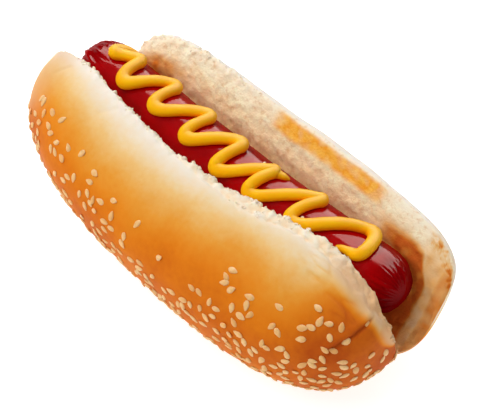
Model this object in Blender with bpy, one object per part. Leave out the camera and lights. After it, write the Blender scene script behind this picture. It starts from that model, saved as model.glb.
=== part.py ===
"""Hot dog: a frankfurter in a roll that is slit along its length, with a zigzag of mustard along its top.

The roll is shaped as a closed loaf, cut along a flat plane almost to its back and then opened like a book.
Its top half, the crown, leans one way and its bottom half, the base, leans the other. Sizes are in
millimetres and angles in degrees, and turn into metres and radians where the meshes are made. +X runs along
the roll, -Y is the crown's side and +Z is up. Sections across the roll are drawn round the sausage's axis.
"""

import math
from dataclasses import dataclass

import bmesh
import bpy
import numpy as np
from mathutils import Matrix, Vector

MM = 0.001
GAP = 0.3                   # clear space between two pieces that touch
SHARP_ANGLE = 40.0          # an edge that turns more than this is shaded sharp

# The frankfurter: a bowed rod with domed ends.
FRANK_LENGTH = 146.0
FRANK_RADIUS = 11.2
FRANK_DOME = 10.0           # length of each rounded end
FRANK_DOME_POWER = 2.3      # 2 is a round dome, more is blunter
FRANK_BOW = 2.6             # how far its middle lies towards the crown
FRANK_BODY_RINGS = 20
FRANK_DOME_RINGS = 7        # over each rounded end
FRANK_SIDES = 32

# The loaf before it is opened. Widths run along the cut, heights away from it.
LOAF_HALF_LENGTH = 80.0
LOAF_PLAN_POWER = 3.4       # how square its outline is from above
LOAF_RISE_POWER = 2.7       # how square its outline is from the side
LOAF_SECTION_POWER = 2.5    # how square its section is
BACK_WIDTH = 28.8           # from the loaf's middle to its uncut side
CUT_WIDTH = 23.6            # from the loaf's middle to the bottom of the slit
OPENING = 42.2              # angle between the two cut faces
BEND_START = 100.0          # angle round the hinge where the crust starts to stretch
OWN_LENGTH_FROM = 24.0      # distance from the hinge where each half has its own length
CURL_FROM = 15.0            # distances from the hinge between which the lip's curl comes in
CURL_TO = 45.0
CURL_TURN = 70.0            # angle from the cut face where the curl has died out
HINGE_Y = -7.1              # bottom of the slit, from the frankfurter's axis
HINGE_Z = -29.5
REST_Z = -34.4              # the surface that the roll stands on
ROLL_STATIONS = 20          # from its middle to each end
CURVE_SAMPLES = 400         # points worked out along a curve before it is spaced evenly
BED_CLEARANCE = 0.3         # added to the gap where the crumb bends round the frankfurter

# The mustard: one round strand with a flattened underside, piped to and fro over the frankfurter.
MUSTARD_WIDTH = 3.6
MUSTARD_RISE = 1.25         # height of its middle above the frankfurter
MUSTARD_TAIL = 4.0          # length over which each end tapers
MUSTARD_TAIL_POWER = 2.0    # 2 is a round end
MUSTARD_STEP = 1.5          # distance between two sections
MUSTARD_SIDES = 10
STROKE_SAMPLES = 40         # points worked out along one stroke
MUSTARD_TURNS = (           # place along the roll, angle round the sausage from +Y, and swing of each turn
    (-53.5, 52.0, 0.0),
    (-59.0, 88.0, 9.0),
    (-50.8, 60.0, 9.0),
    (-47.6, 115.0, 12.0),
    (-33.5, 52.0, 12.0),
    (-31.5, 115.0, 12.0),
    (-15.8, 57.0, 12.0),
    (-15.6, 119.0, 12.0),
    (0.0, 61.0, 12.0),
    (0.2, 130.0, 12.0),
    (17.0, 65.0, 12.0),
    (15.2, 131.0, 12.0),
    (34.0, 54.0, 12.0),
    (32.0, 125.0, 12.0),
    (54.0, 53.0, 12.0),
    (56.5, 117.0, -9.0),
    (49.5, 110.0, 0.0),
)


@dataclass
class Half:
    """One half of the roll: its height from the cut, its width to the lip and the lean of its cut face."""

    height: float
    swell: float            # how much higher it is at its end than in the middle, as a share
    lip_width: float
    lip_power: float        # how square its lip is from above
    lip_curl: tuple         # (place along the roll, angle that the lip bends outwards there)
    lean: float
    side: int
    start: float            # where it ends along the roll, which the baking left uneven
    end: float
    crust_points: int
    crumb_points: int


CROWN = Half(
    height=36.0,
    swell=0.1,
    lip_width=23.0,
    lip_power=4.1,
    lip_curl=((-78.0, -5.0), (-12.0, 4.5), (56.0, -5.0), (80.0, 4.0)),
    lean=98.6,
    side=1,
    start=-79.0,
    end=79.5,
    crust_points=22,
    crumb_points=12,
)
BASE = Half(
    height=15.0,
    swell=0.0,
    lip_width=27.2,
    lip_power=5.0,
    lip_curl=((-78.0, 0.0), (78.0, 0.0)),
    lean=CROWN.lean - OPENING,
    side=-1,
    start=-62.5,
    end=81.5,
    crust_points=16,
    crumb_points=14,
)


def smooth_step(value, start, end):
    share = np.clip((value - start) / (end - start), 0.0, 1.0)
    return share * share * (3.0 - 2.0 * share)


def eased(x, stations):
    """A value that passes smoothly through each (place, value) and is level at each of them."""
    places, values = zip(*stations)
    after = int(np.clip(np.searchsorted(places, x), 1, len(places) - 1))
    share = smooth_step(x, places[after - 1], places[after])
    return values[after - 1] + (values[after] - values[after - 1]) * share


def superellipse(share, power):
    """Height of a superellipse of radius 1 at this share of its width."""
    return np.maximum(1.0 - np.abs(share) ** power, 0.0) ** (1.0 / power)


def evenly_spaced(points, count):
    """The same path with `count` points at equal steps along it."""
    steps = np.linalg.norm(np.diff(points, axis=0), axis=1)
    run = np.concatenate([[0.0], np.cumsum(steps)])
    wanted = np.linspace(0.0, run[-1], count)
    return np.stack([np.interp(wanted, run, column) for column in points.T], axis=1)


def frank_radius(x):
    """Radius at x: full along the rod, falling to nothing over each dome."""
    into_dome = (np.abs(x) - (FRANK_LENGTH / 2 - FRANK_DOME)) / FRANK_DOME
    return FRANK_RADIUS * superellipse(np.clip(into_dome, 0.0, 1.0), FRANK_DOME_POWER)


def frank_axis_y(x):
    """The axis bows towards the crown in the middle and comes back at the ends."""
    return -FRANK_BOW * (1.0 - (2.0 * x / FRANK_LENGTH) ** 2)


def opened(half, x, y, z):
    """Where the loaf's points at (x, y, z) lie once this half is folded back round the hinge.

    Away from the hinge the half also keeps its own length. At the hinge it has the mean length of the two.
    """
    distance = np.hypot(y + CUT_WIDTH, z)
    turn = np.degrees(np.arctan2(z, y + CUT_WIDTH))
    near_lip = smooth_step(distance, CURL_FROM, CURL_TO) * (1.0 - smooth_step(turn, 0.0, CURL_TURN))
    turn = turn - OPENING / 2 * smooth_step(turn, BEND_START, 180.0) + eased(x, half.lip_curl) * near_lip
    angle = np.radians(half.lean + half.side * turn)
    own = half.end if x > 0.0 else -half.start
    shared = (CROWN.end + BASE.end) / 2 if x > 0.0 else -(CROWN.start + BASE.start) / 2
    length = shared + (own - shared) * smooth_step(y + CUT_WIDTH, 0.0, OWN_LENGTH_FROM)
    along = x / LOAF_HALF_LENGTH * length
    return np.stack([along, HINGE_Y + distance * np.cos(angle), HINGE_Z + distance * np.sin(angle)], axis=1)


def crust_section(half, x):
    """Section of the half's outside at x, from its lip over the top to the loaf's back."""
    share = x / LOAF_HALF_LENGTH
    lip = half.lip_width * superellipse(share, half.lip_power)
    back = BACK_WIDTH * superellipse(share, LOAF_PLAN_POWER)
    top = half.height * (1.0 + half.swell * share) * superellipse(share, LOAF_RISE_POWER)
    turn = np.linspace(0.0, math.pi, CURVE_SAMPLES)
    across = np.sign(np.cos(turn)) * np.abs(np.cos(turn)) ** (2.0 / LOAF_SECTION_POWER)
    width = np.where(across > 0.0, lip, back)
    height = top * np.abs(np.sin(turn)) ** (2.0 / LOAF_SECTION_POWER)
    return evenly_spaced(opened(half, x, across * width, height), half.crust_points)


def crumb_section(half, x):
    """Section of the half's cut face at x, from its lip to the bottom of the slit or to the loaf's back."""
    share = x / LOAF_HALF_LENGTH
    lip = half.lip_width * superellipse(share, half.lip_power)
    inner_edge = -min(CUT_WIDTH, BACK_WIDTH * superellipse(share, LOAF_PLAN_POWER))
    across = np.linspace(lip, inner_edge, half.crumb_points)
    return opened(half, x, across, np.zeros_like(across))


def pressed(section):
    """The points pushed clear of the frankfurter and flattened where the roll stands."""
    x, y, z = section.T
    from_axis = y - frank_axis_y(x)
    distance = np.maximum(np.hypot(from_axis, z), 1e-6)
    radius = frank_radius(x)
    least = np.where(radius > 0.0, radius + GAP + BED_CLEARANCE, 0.0)
    push = np.maximum(least / distance, 1.0)
    return np.stack([x, frank_axis_y(x) + from_axis * push, np.maximum(z * push, REST_Z)], axis=1)


def roll_stations():
    """Places along the roll, closer towards its ends, with one where the slit comes out of the back."""
    turn = np.linspace(0.0, math.pi / 2, CURVE_SAMPLES)
    outline = np.stack(
        [
            LOAF_HALF_LENGTH * np.sin(turn) ** (2.0 / LOAF_PLAN_POWER),
            BACK_WIDTH * np.cos(turn) ** (2.0 / LOAF_PLAN_POWER),
        ],
        axis=1,
    )
    half = evenly_spaced(outline, ROLL_STATIONS + 1)[:, 0]
    slit_end = LOAF_HALF_LENGTH * superellipse(CUT_WIDTH / BACK_WIDTH, LOAF_PLAN_POWER)
    half[np.argmin(np.abs(half - slit_end))] = slit_end
    half[-1] = LOAF_HALF_LENGTH
    return np.concatenate([-half[:0:-1], half])


def roll_mesh():
    """Four strips from end to end: crust and crumb of each half. They share the points along their edges."""
    strips = []
    for half in (CROWN, BASE):
        for section in (crust_section, crumb_section):
            strips.append([pressed(section(half, x)) for x in roll_stations()])
    return strips


def frank_mesh():
    """Rings round the axis, closer together over the domes."""
    body = FRANK_LENGTH / 2 - FRANK_DOME
    end = body + FRANK_DOME * np.sin(np.linspace(0.0, math.pi / 2, FRANK_DOME_RINGS))
    middle = np.linspace(-body, body, FRANK_BODY_RINGS + 2)
    stations = np.concatenate([-end[::-1], middle[1:-1], end])
    rings = []
    for x in stations:
        around = np.linspace(0.0, 2.0 * math.pi, FRANK_SIDES + 1)
        y = frank_axis_y(x) + frank_radius(x) * np.cos(around)
        z = frank_radius(x) * np.sin(around)
        rings.append(np.stack([np.full_like(around, x), y, z], axis=1))
    return [rings]


def mustard_path():
    """The strand's middle line, as places along the roll and arc lengths round the frankfurter.

    The strand runs along the roll as it passes each turn, the faster the wider the turn's swing.
    """
    places = np.array([(x, math.radians(angle) * FRANK_RADIUS) for x, angle, _ in MUSTARD_TURNS])
    swings = np.array([(swing, 0.0) for _, _, swing in MUSTARD_TURNS])
    share = np.linspace(0.0, 1.0, STROKE_SAMPLES)[:, None]
    strokes = [
        start * (1.0 - share) ** 2 * (1.0 + 2.0 * share)
        + end * share**2 * (3.0 - 2.0 * share)
        + leaving * share * (1.0 - share) ** 2
        - arriving * share**2 * (1.0 - share)
        for start, end, leaving, arriving in zip(places, places[1:], swings, swings[1:])
    ]
    path = np.concatenate(strokes)
    length = np.linalg.norm(np.diff(path, axis=0), axis=1).sum()
    return evenly_spaced(path, int(length / MUSTARD_STEP))


def mustard_mesh():
    """The strand's section carried along its path and wrapped round the frankfurter, closed at both ends."""
    path = mustard_path()
    ahead = np.gradient(path, axis=0)
    ahead /= np.linalg.norm(ahead, axis=1)[:, None]
    run = np.concatenate([[0.0], np.cumsum(np.linalg.norm(np.diff(path, axis=0), axis=1))])
    to_end = np.minimum(run, run[-1] - run)
    size = superellipse(np.clip(1.0 - to_end / MUSTARD_TAIL, 0.0, 1.0), MUSTARD_TAIL_POWER)
    radius = MUSTARD_WIDTH / 2
    lowest = -math.asin(MUSTARD_RISE / radius)
    turn = np.linspace(lowest, math.pi - lowest, MUSTARD_SIDES)
    aside = np.append(radius * np.cos(turn), radius * math.cos(lowest))
    above = np.append(MUSTARD_RISE + radius * np.sin(turn), 0.0)
    rings = []
    for place, direction, share in zip(path, ahead, size):
        x = place[0] - direction[1] * aside * share
        angle = (place[1] + direction[0] * aside * share) / FRANK_RADIUS
        reach = FRANK_RADIUS + GAP + np.maximum(above, 0.0) * share
        rings.append(np.stack([x, frank_axis_y(x) + reach * np.cos(angle), reach * np.sin(angle)], axis=1))
    return [rings]


def build_piece(name, strips, material):
    """One closed mesh from strips of rows of points. Points that coincide become one."""
    places = {}
    points = []
    faces = []

    def index(point):
        key = tuple(np.round(point, 4))
        if key not in places:
            places[key] = len(points)
            points.append([value * MM for value in point])
        return places[key]

    for rows in strips:
        grid = [[index(point) for point in row] for row in rows]
        for row, following in zip(grid, grid[1:]):
            for a, b, c, d in zip(row, row[1:], following[1:], following):
                corners = list(dict.fromkeys((a, b, c, d)))
                if len(corners) > 2:
                    faces.append(corners)
    mesh = bpy.data.meshes.new(name)
    mesh.from_pydata(points, [], faces)
    shape = bmesh.new()
    shape.from_mesh(mesh)
    bmesh.ops.recalc_face_normals(shape, faces=shape.faces)
    shape.to_mesh(mesh)
    shape.free()
    mesh.shade_smooth()
    mesh.set_sharp_from_angle(angle=math.radians(SHARP_ANGLE))
    mesh.materials.append(material)
    piece = bpy.data.objects.new(name, mesh)
    bpy.context.scene.collection.objects.link(piece)
    return piece


def plain_material(name, colour, roughness):
    material = bpy.data.materials.new(name)
    material.use_nodes = True
    shader = material.node_tree.nodes["Principled BSDF"]
    shader.inputs["Base Color"].default_value = (*colour, 1.0)
    shader.inputs["Roughness"].default_value = roughness
    shader.inputs["Metallic"].default_value = 0.0
    return material


def centre_on_floor(pieces):
    """Moves the meshes so that the box round them is centred on the origin and stands on z = 0."""
    corners = np.array([vertex.co for piece in pieces for vertex in piece.data.vertices])
    low = corners.min(axis=0)
    high = corners.max(axis=0)
    shift = Vector((-(low[0] + high[0]) / 2, -(low[1] + high[1]) / 2, -low[2]))
    for piece in pieces:
        piece.data.transform(Matrix.Translation(shift))


def build_hot_dog():
    for old in list(bpy.data.objects):
        bpy.data.objects.remove(old)
    bun = build_piece("bun", roll_mesh(), plain_material("bread", (0.80, 0.50, 0.20), 0.6))
    sausage = build_piece("sausage", frank_mesh(), plain_material("frankfurter", (0.42, 0.02, 0.02), 0.3))
    mustard = build_piece("mustard", mustard_mesh(), plain_material("mustard", (0.85, 0.47, 0.02), 0.35))
    centre_on_floor([bun, sausage, mustard])


build_hot_dog()
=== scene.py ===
"""Looks of a hot dog: a seeded roll slit along its length, a frankfurter, mustard and loose crumbs.

Lengths are in millimetres and angles in degrees until a mesh is made. Sections across the roll are drawn
round the frankfurter's axis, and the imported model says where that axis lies.
"""

import math
from dataclasses import dataclass

import bmesh
import bpy
import numpy as np
from mathutils import Matrix, Vector, noise


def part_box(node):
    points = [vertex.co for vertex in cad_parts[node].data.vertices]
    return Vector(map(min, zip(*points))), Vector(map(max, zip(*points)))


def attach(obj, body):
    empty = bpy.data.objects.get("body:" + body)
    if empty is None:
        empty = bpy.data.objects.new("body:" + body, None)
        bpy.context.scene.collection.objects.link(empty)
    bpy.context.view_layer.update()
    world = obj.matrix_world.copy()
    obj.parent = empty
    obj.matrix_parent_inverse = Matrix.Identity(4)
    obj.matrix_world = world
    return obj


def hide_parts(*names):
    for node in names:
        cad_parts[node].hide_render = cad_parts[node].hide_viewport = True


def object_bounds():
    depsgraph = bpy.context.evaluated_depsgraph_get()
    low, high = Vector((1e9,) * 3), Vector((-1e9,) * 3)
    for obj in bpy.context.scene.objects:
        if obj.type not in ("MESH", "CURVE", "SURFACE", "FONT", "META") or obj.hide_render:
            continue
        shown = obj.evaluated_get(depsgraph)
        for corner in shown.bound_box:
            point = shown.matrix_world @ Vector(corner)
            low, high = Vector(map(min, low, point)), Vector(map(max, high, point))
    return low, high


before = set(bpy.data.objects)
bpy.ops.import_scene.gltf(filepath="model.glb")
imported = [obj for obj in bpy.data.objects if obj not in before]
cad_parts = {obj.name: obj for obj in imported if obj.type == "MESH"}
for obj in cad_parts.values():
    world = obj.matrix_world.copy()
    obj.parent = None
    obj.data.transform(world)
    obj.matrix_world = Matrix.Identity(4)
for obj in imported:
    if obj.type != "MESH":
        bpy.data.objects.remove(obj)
cad_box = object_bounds()


# ---- The roll ----
# A soft white roll with a thin golden crust. It is baked as one loaf, slit along one side almost to its
# back and opened like a book: its top half, the crown, leans one way and its bottom half, the base, the
# other. The cut faces are open crumb, torn ragged along the crown's lip.

MM = 0.001
frank_low, frank_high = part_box("sausage")
FRANK_BOW = 2.6  # how far the frankfurter's middle lies towards the crown
FRANK_RADIUS = (frank_high.z - frank_low.z) / 2 / MM
FRANK_LENGTH = (frank_high.x - frank_low.x) / MM
FRANK_DOME = 12.5
FRANK_DOME_POWER = 2.1
AXIS = (frank_low + frank_high) / 2
AXIS.y = frank_low.y + (FRANK_RADIUS + FRANK_BOW) * MM
FLOOR_Z = -AXIS.z / MM

LOAF_HALF_LENGTH = 80.0
LOAF_PLAN_POWER = 3.4
LOAF_RISE_POWER = 2.7
LOAF_SECTION_POWER = 2.5
BACK_WIDTH = 28.8
CUT_WIDTH = 23.6
OPENING = 42.2
BEND_START = 100.0
OWN_LENGTH_FROM = 24.0
CURL_FROM = 15.0
CURL_TO = 45.0
CURL_TURN = 70.0
HINGE_Y = -7.1
HINGE_Z = -29.5
BED_CLEARANCE = 0.15
LIP_WAVE_REACH = 2.2  # how far from the lip its unevenness dies out
ROLL_STATIONS = 150  # from its middle to each end
CURVE_SAMPLES = 700
CRUST_CROWDING = 0.35  # how much closer than evenly the points lie at the lip, over the crust
CUT_CROWDING = 0.5  # and over the cut face


@dataclass
class Half:
    """One half of the roll: its height from the cut, its width to the lip and the lean of its cut face."""

    height: float
    swell: float
    lip_width: float
    lip_power: float
    lip_curl: tuple
    lip_round: float  # how far the edge between crust and cut face is rounded off
    lip_wave: float  # how uneven the lip is, from side to side
    lean: float
    side: int
    start: float
    end: float
    crust_points: int
    crumb_points: int


CROWN = Half(
    height=36.0,
    swell=0.1,
    lip_width=22.9,
    lip_power=4.1,
    lip_curl=((-78.0, -5.0), (-12.0, 4.5), (57.0, -5.2), (68.0, -3.4), (80.0, 3.0)),
    lip_round=0.9,
    lip_wave=0.95,
    lean=98.6,
    side=1,
    start=-79.0,
    end=79.5,
    crust_points=100,
    crumb_points=52,
)
BASE = Half(
    height=15.0,
    swell=0.0,
    lip_width=27.9,
    lip_power=5.0,
    lip_curl=((-78.0, 0.0), (78.0, 0.0)),
    lip_round=2.6,
    lip_wave=0.2,
    lean=CROWN.lean - OPENING,
    side=-1,
    start=-62.5,
    end=81.5,
    crust_points=62,
    crumb_points=72,
)


def smooth_step(value, start, end):
    share = np.clip((value - start) / (end - start), 0.0, 1.0)
    return share * share * (3.0 - 2.0 * share)


def between(value, rise, fall):
    """1 from the end of `rise` to the start of `fall`, easing to 0 outside them."""
    return smooth_step(value, *rise) * (1.0 - smooth_step(value, *fall))


def bump(value, width, power=2):
    """1 where the value is 0, dying out about `width` to either side of it."""
    return np.exp(-((value / width) ** power))


def eased(x, stations):
    """Values that pass smoothly through each (place, value) and are level at each of them."""
    places, values = (np.array(column) for column in zip(*stations))
    after = np.clip(np.searchsorted(places, x), 1, len(places) - 1)
    share = smooth_step(x, places[after - 1], places[after])
    return values[after - 1] + (values[after] - values[after - 1]) * share


def superellipse(share, power):
    return np.maximum(1.0 - np.abs(share) ** power, 0.0) ** (1.0 / power)


def columns(*values):
    return np.stack(values, axis=1)


def run_along(points):
    """Distance of each point along the path from its first point."""
    steps = np.linalg.norm(np.diff(points, axis=0), axis=1)
    return np.concatenate([[0.0], np.cumsum(steps)])


def at_runs(points, run, wanted):
    return np.stack([np.interp(wanted, run, column) for column in points.T], axis=1)


def uneven(points, size, seed=0.0):
    """Smooth random values between about -1 and 1 whose swells are `size` across."""
    places = np.atleast_2d(points) / size + seed
    return np.array([noise.noise(place) for place in places])


def layered(points, layers):
    """The sum of unevennesses, each given as (height, size, seed)."""
    return sum(height * uneven(points, size, seed) for height, size, seed in layers)


def on_line(x):
    """Points on one straight line, at these distances along it."""
    return columns(x, np.zeros_like(x), np.zeros_like(x))


def frank_radius(x):
    into_dome = (np.abs(x) - (FRANK_LENGTH / 2 - FRANK_DOME)) / FRANK_DOME
    return FRANK_RADIUS * superellipse(np.clip(into_dome, 0.0, 1.0), FRANK_DOME_POWER)


def frank_axis_y(x):
    return -FRANK_BOW * (1.0 - (2.0 * x / FRANK_LENGTH) ** 2)


def opened(half, x, y, z):
    """Where the loaf's points at (x, y, z) lie once this half is folded back round the hinge."""
    distance = np.hypot(y + CUT_WIDTH, z)
    turn = np.degrees(np.arctan2(z, y + CUT_WIDTH))
    near_lip = smooth_step(distance, CURL_FROM, CURL_TO) * (1.0 - smooth_step(turn, 0.0, CURL_TURN))
    turn = turn - OPENING / 2 * smooth_step(turn, BEND_START, 180.0) + eased(x, half.lip_curl) * near_lip
    angle = np.radians(half.lean + half.side * turn)
    own = half.end if x > 0.0 else -half.start
    shared = (CROWN.end + BASE.end) / 2 if x > 0.0 else -(CROWN.start + BASE.start) / 2
    length = shared + (own - shared) * smooth_step(y + CUT_WIDTH, 0.0, OWN_LENGTH_FROM)
    along = x / LOAF_HALF_LENGTH * length
    return columns(along, HINGE_Y + distance * np.cos(angle), HINGE_Z + distance * np.sin(angle))


def pressed(section):
    """The points pushed clear of the frankfurter and flattened where the roll stands."""
    x, y, z = section.T
    from_axis = y - frank_axis_y(x)
    distance = np.maximum(np.hypot(from_axis, z), 1e-6)
    radius = frank_radius(x)
    least = np.where(radius > 0.0, radius + BED_CLEARANCE, 0.0)
    push = np.maximum(least / distance, 1.0)
    return columns(x, frank_axis_y(x) + from_axis * push, np.maximum(z * push, FLOOR_Z))


def section_of(half, x, wave):
    """One half at x: its points over the crust and over the cut face, and their distances from the lip.

    Both rows of points start at the lip, where they lie closest together.
    """
    share = x / LOAF_HALF_LENGTH
    full = superellipse(share, half.lip_power)
    lip = half.lip_width * full
    back = BACK_WIDTH * superellipse(share, LOAF_PLAN_POWER)
    top = half.height * (1.0 + half.swell * share) * superellipse(share, LOAF_RISE_POWER)
    turn = np.linspace(math.pi, 0.0, CURVE_SAMPLES)
    across = np.sign(np.cos(turn)) * np.abs(np.cos(turn)) ** (2.0 / LOAF_SECTION_POWER)
    crust_z = top * np.abs(np.sin(turn)) ** (2.0 / LOAF_SECTION_POWER)
    ragged = wave * full * bump(crust_z, LIP_WAVE_REACH) * (across > 0.0)
    crust_y = across * np.where(across > 0.0, lip, back) + ragged
    cut_y = np.linspace(lip + wave * full, -min(CUT_WIDTH, back), CURVE_SAMPLES)
    loaf_y = np.concatenate([crust_y, cut_y[1:]])
    loaf_z = np.concatenate([crust_z, np.zeros(CURVE_SAMPLES - 1)])
    path = opened(half, x, loaf_y, loaf_z)
    run = run_along(path)
    lip_run = run[CURVE_SAMPLES - 1]
    crust_length = lip_run
    cut_length = run[-1] - lip_run
    path = rounded(path, run, lip_run, min(half.lip_round, crust_length / 8, cut_length / 8))
    crust_runs = crust_length * crowded(half.crust_points, CRUST_CROWDING)
    cut_runs = cut_length * crowded(half.crumb_points, CUT_CROWDING)
    crust = pressed(at_runs(path, run, lip_run - crust_runs))
    cut = pressed(at_runs(path, run, lip_run + cut_runs))
    return crust, cut, crust_runs, -cut_runs


def rounded(path, run, corner, radius):
    """The path with the corner at run `corner` eased by a moving average about `radius` wide."""
    if radius < 0.01:
        return path
    offsets = np.linspace(-2.5, 2.5, 21)
    weights = np.exp(-offsets**2)
    near = np.abs(run - corner) < 6.0 * radius
    total = np.zeros_like(path[near])
    for offset, weight in zip(offsets, weights):
        total += weight * at_runs(path, run, run[near] + offset * radius)
    eased_path = path.copy()
    fade = 1.0 - smooth_step(np.abs(run[near] - corner), 3.0 * radius, 6.0 * radius)
    eased_path[near] += (total / weights.sum() - path[near]) * fade[:, None]
    return eased_path


def crowded(count, first):
    """Shares from 0 to 1 that start `first` times as far apart as equal steps would be."""
    step = np.linspace(0.0, 1.0, count)
    return first * step + (1.0 - first) * step**2


def roll_stations():
    """Places along the roll, closer towards its ends, with one where the slit comes out of the back."""
    turn = np.linspace(0.0, math.pi / 2, CURVE_SAMPLES)
    x = LOAF_HALF_LENGTH * np.sin(turn) ** (2.0 / LOAF_PLAN_POWER)
    y = BACK_WIDTH * np.cos(turn) ** (2.0 / LOAF_PLAN_POWER)
    outline = columns(x, y)
    run = run_along(outline)
    half = at_runs(outline, run, np.linspace(0.0, run[-1], ROLL_STATIONS + 1))[:, 0]
    slit_end = LOAF_HALF_LENGTH * superellipse(CUT_WIDTH / BACK_WIDTH, LOAF_PLAN_POWER)
    half[np.argmin(np.abs(half - slit_end))] = slit_end
    half[-1] = LOAF_HALF_LENGTH
    return np.concatenate([-half[:0:-1], half])


class Shell:
    """Collects rows of points into one closed mesh, with values at each point.

    Points that coincide become one.
    """

    def __init__(self):
        self.places = {}
        self.points = []
        self.values = []
        self.faces = []

    def index(self, point, values):
        key = tuple(np.round(point, 4))
        if key not in self.places:
            self.places[key] = len(self.points)
            self.points.append(point)
            self.values.append(values)
        return self.places[key]

    def add_strip(self, rows, values):
        grid = [[self.index(p, v) for p, v in zip(row, held)] for row, held in zip(rows, values)]
        for row, following in zip(grid, grid[1:]):
            for a, b, c, d in zip(row, row[1:], following[1:], following):
                corners = list(dict.fromkeys((a, b, c, d)))
                if len(corners) > 2:
                    self.faces.append(corners)


def closed_piece(name, places, faces, material):
    """A closed, smooth piece from places in metres."""
    mesh = bpy.data.meshes.new(name)
    mesh.from_pydata(places, [], faces)
    shape = bmesh.new()
    shape.from_mesh(mesh)
    bmesh.ops.recalc_face_normals(shape, faces=shape.faces)
    shape.to_mesh(mesh)
    shape.free()
    mesh.shade_smooth()
    mesh.materials.append(material)
    piece = bpy.data.objects.new(name, mesh)
    bpy.context.scene.collection.objects.link(piece)
    return piece


def mesh_piece(name, shell, material):
    """The same from a shell drawn in millimetres round the frankfurter's axis."""
    return closed_piece(name, np.array(shell.points) * MM + np.array(AXIS), shell.faces, material)


def places_and_normals(mesh):
    """The mesh's points and its directions there, as rows."""
    places = np.zeros((len(mesh.vertices), 3), np.float32)
    normals = np.zeros_like(places)
    mesh.vertices.foreach_get("co", places.ravel())
    mesh.vertex_normals.foreach_get("vector", normals.ravel())
    return places.astype(float), normals.astype(float)


def store(mesh, name, values):
    layer = mesh.attributes.new(name, "FLOAT", "POINT")
    layer.data.foreach_set("value", np.asarray(values, np.float32))


def move_points(mesh, places):
    mesh.vertices.foreach_set("co", np.asarray(places, np.float32).ravel())
    mesh.update()


# The crust tore back from the crown's lip towards the near end. Each point is (place along the roll, width
# of bare crumb).
TORN_EDGE = (
    (-80.0, 0.3),
    (-30.0, 0.5),
    (-12.0, 1.4),
    (4.0, 2.8),
    (16.0, 5.2),
    (27.0, 5.4),
    (38.0, 3.6),
    (49.0, 3.8),
    (58.0, 4.8),
    (65.0, 4.2),
    (71.0, 3.4),
    (76.0, 2.0),
    (79.0, 0.4),
    (80.0, 0.2),
)
# How brown the crust is, from 0 to 1: (distance from the lip, browning).
CROWN_BAKE = (
    (0.0, 0.0),
    (5.5, 0.17),
    (12.0, 0.39),
    (20.0, 0.6),
    (29.5, 0.79),
    (42.0, 0.88),
    (70.0, 0.84),
    (100.0, 0.4),
)
BASE_BAKE = ((0.0, 0.0), (6.0, 0.03), (12.0, 0.32), (22.0, 0.68), (60.0, 0.55))
# The skin rucked up and folded over itself there: (distance from the lip, place along the roll).
CREASE = ((3.3, 75.3), (7.3, 75.3), (11.6, 74.8), (14.3, 74.3), (17.1, 73.3), (22.1, 71.8), (25.7, 70.8))
CREASE_WIDTH = 0.4
CREASE_DEPTH = 0.8
FOLD_HEIGHT = 0.55  # of the ridge beside the crease
FOLD_PLACE = -1.1  # of its top, from the crease
FOLD_WIDTH = 0.9
# Faint dents in the crown, each along a path of (place along the roll, distance from the lip).
DENTS = (((-42.0, 8.7), (-38.0, 2.9)), ((-68.0, 10.0), (-65.0, 5.0)))
DENT_WIDTH = 0.8
DENT_DEPTH = 0.3
WRINKLE_LENGTH = 8.0
WRINKLE_WIDTH = 2.6
WRINKLE_HEIGHT = 0.35
TUFT_HEIGHT = 1.5  # of the tufts along the crown's lip
SMALL_TUFT_HEIGHT = 0.5
PUFF_HEIGHT = 1.3  # how far the base's cut face swells out above the frankfurter's bed
CRUST_THICKNESS = 0.22
GROOVE_DEPTH = 0.45  # beside the edge of the torn crust
LIP_LOSS = 1.0  # how much of the crown's lip came away along its middle
NOTCH_LOSS = 1.3  # and how much more at its deepest notch
NOTCH_PLACE = 13.0
NOTCH_WIDTH = 8.0
CROWN_UNDERSIDE = 60.0  # how far from the lip the crown's underside begins
CRUMB_DEPTH = 18.0  # how far inside the lip the crumb's colour stops changing
ROLL_END = (79.0, 80.0)  # where the unevenness dies out towards each end
# Each unevenness is made of layers of (height, width of its swells, seed).
LIP_WAVES = ((0.6, 1.3, 3.1), (1.0, 4.3, 7.7), (1.0, 15.0, 1.3))
SWELLS = ((0.5, 21.0, 5.5), (0.22, 8.0, 9.1))
SPONGE = ((0.34, 3.4, 1.7), (0.28, 1.7, 2.9), (0.16, 1.0, 8.8))
RUCKS = ((0.55, 2.4, 5.8), (0.3, 1.2, 0.3))  # in the torn band
FLUFF = ((1.2, 2.6, 0.9), (0.45, 1.3, 5.2))  # along the base's lip, towards the far end
TORN_RAGGED = ((0.8, 3.2, 4.4), (0.4, 1.1, 8.2))  # where the torn crust ends
BAKE_PATCHES = ((0.07, 17.0, 3.9), (0.03, 6.0, 0.7))


def distance_to_path(x, s, path):
    """Distance of each (x, s) from a chain of straight runs."""
    least = np.full_like(x, np.inf)
    place = columns(x, s)
    for start, end in zip(np.array(path), np.array(path[1:])):
        ahead = end - start
        share = np.clip((place - start) @ ahead / (ahead @ ahead), 0.0, 1.0)
        least = np.minimum(least, np.linalg.norm(place - start - share[:, None] * ahead, axis=1))
    return least


def lip_wave(half, stations):
    """How far the half's lip stands out or in at each place along the roll."""
    wave = half.lip_wave * layered(on_line(stations), LIP_WAVES)
    if half is CROWN:
        wave -= LIP_LOSS * between(stations, (-4.0, 8.0), (38.0, 48.0))
        wave -= NOTCH_LOSS * bump(stations - NOTCH_PLACE, NOTCH_WIDTH)
    return wave


def roll_shell():
    shell = Shell()
    stations = roll_stations()
    for half in (CROWN, BASE):
        sections = [section_of(half, x, wave) for x, wave in zip(stations, lip_wave(half, stations))]
        for side in (0, 1):
            rows = [section[side] for section in sections]
            runs = [section[side + 2] for section in sections]
            shell.add_strip(rows, [[(x, run, half.side) for run in row] for x, row in zip(stations, runs)])
    return shell


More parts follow.
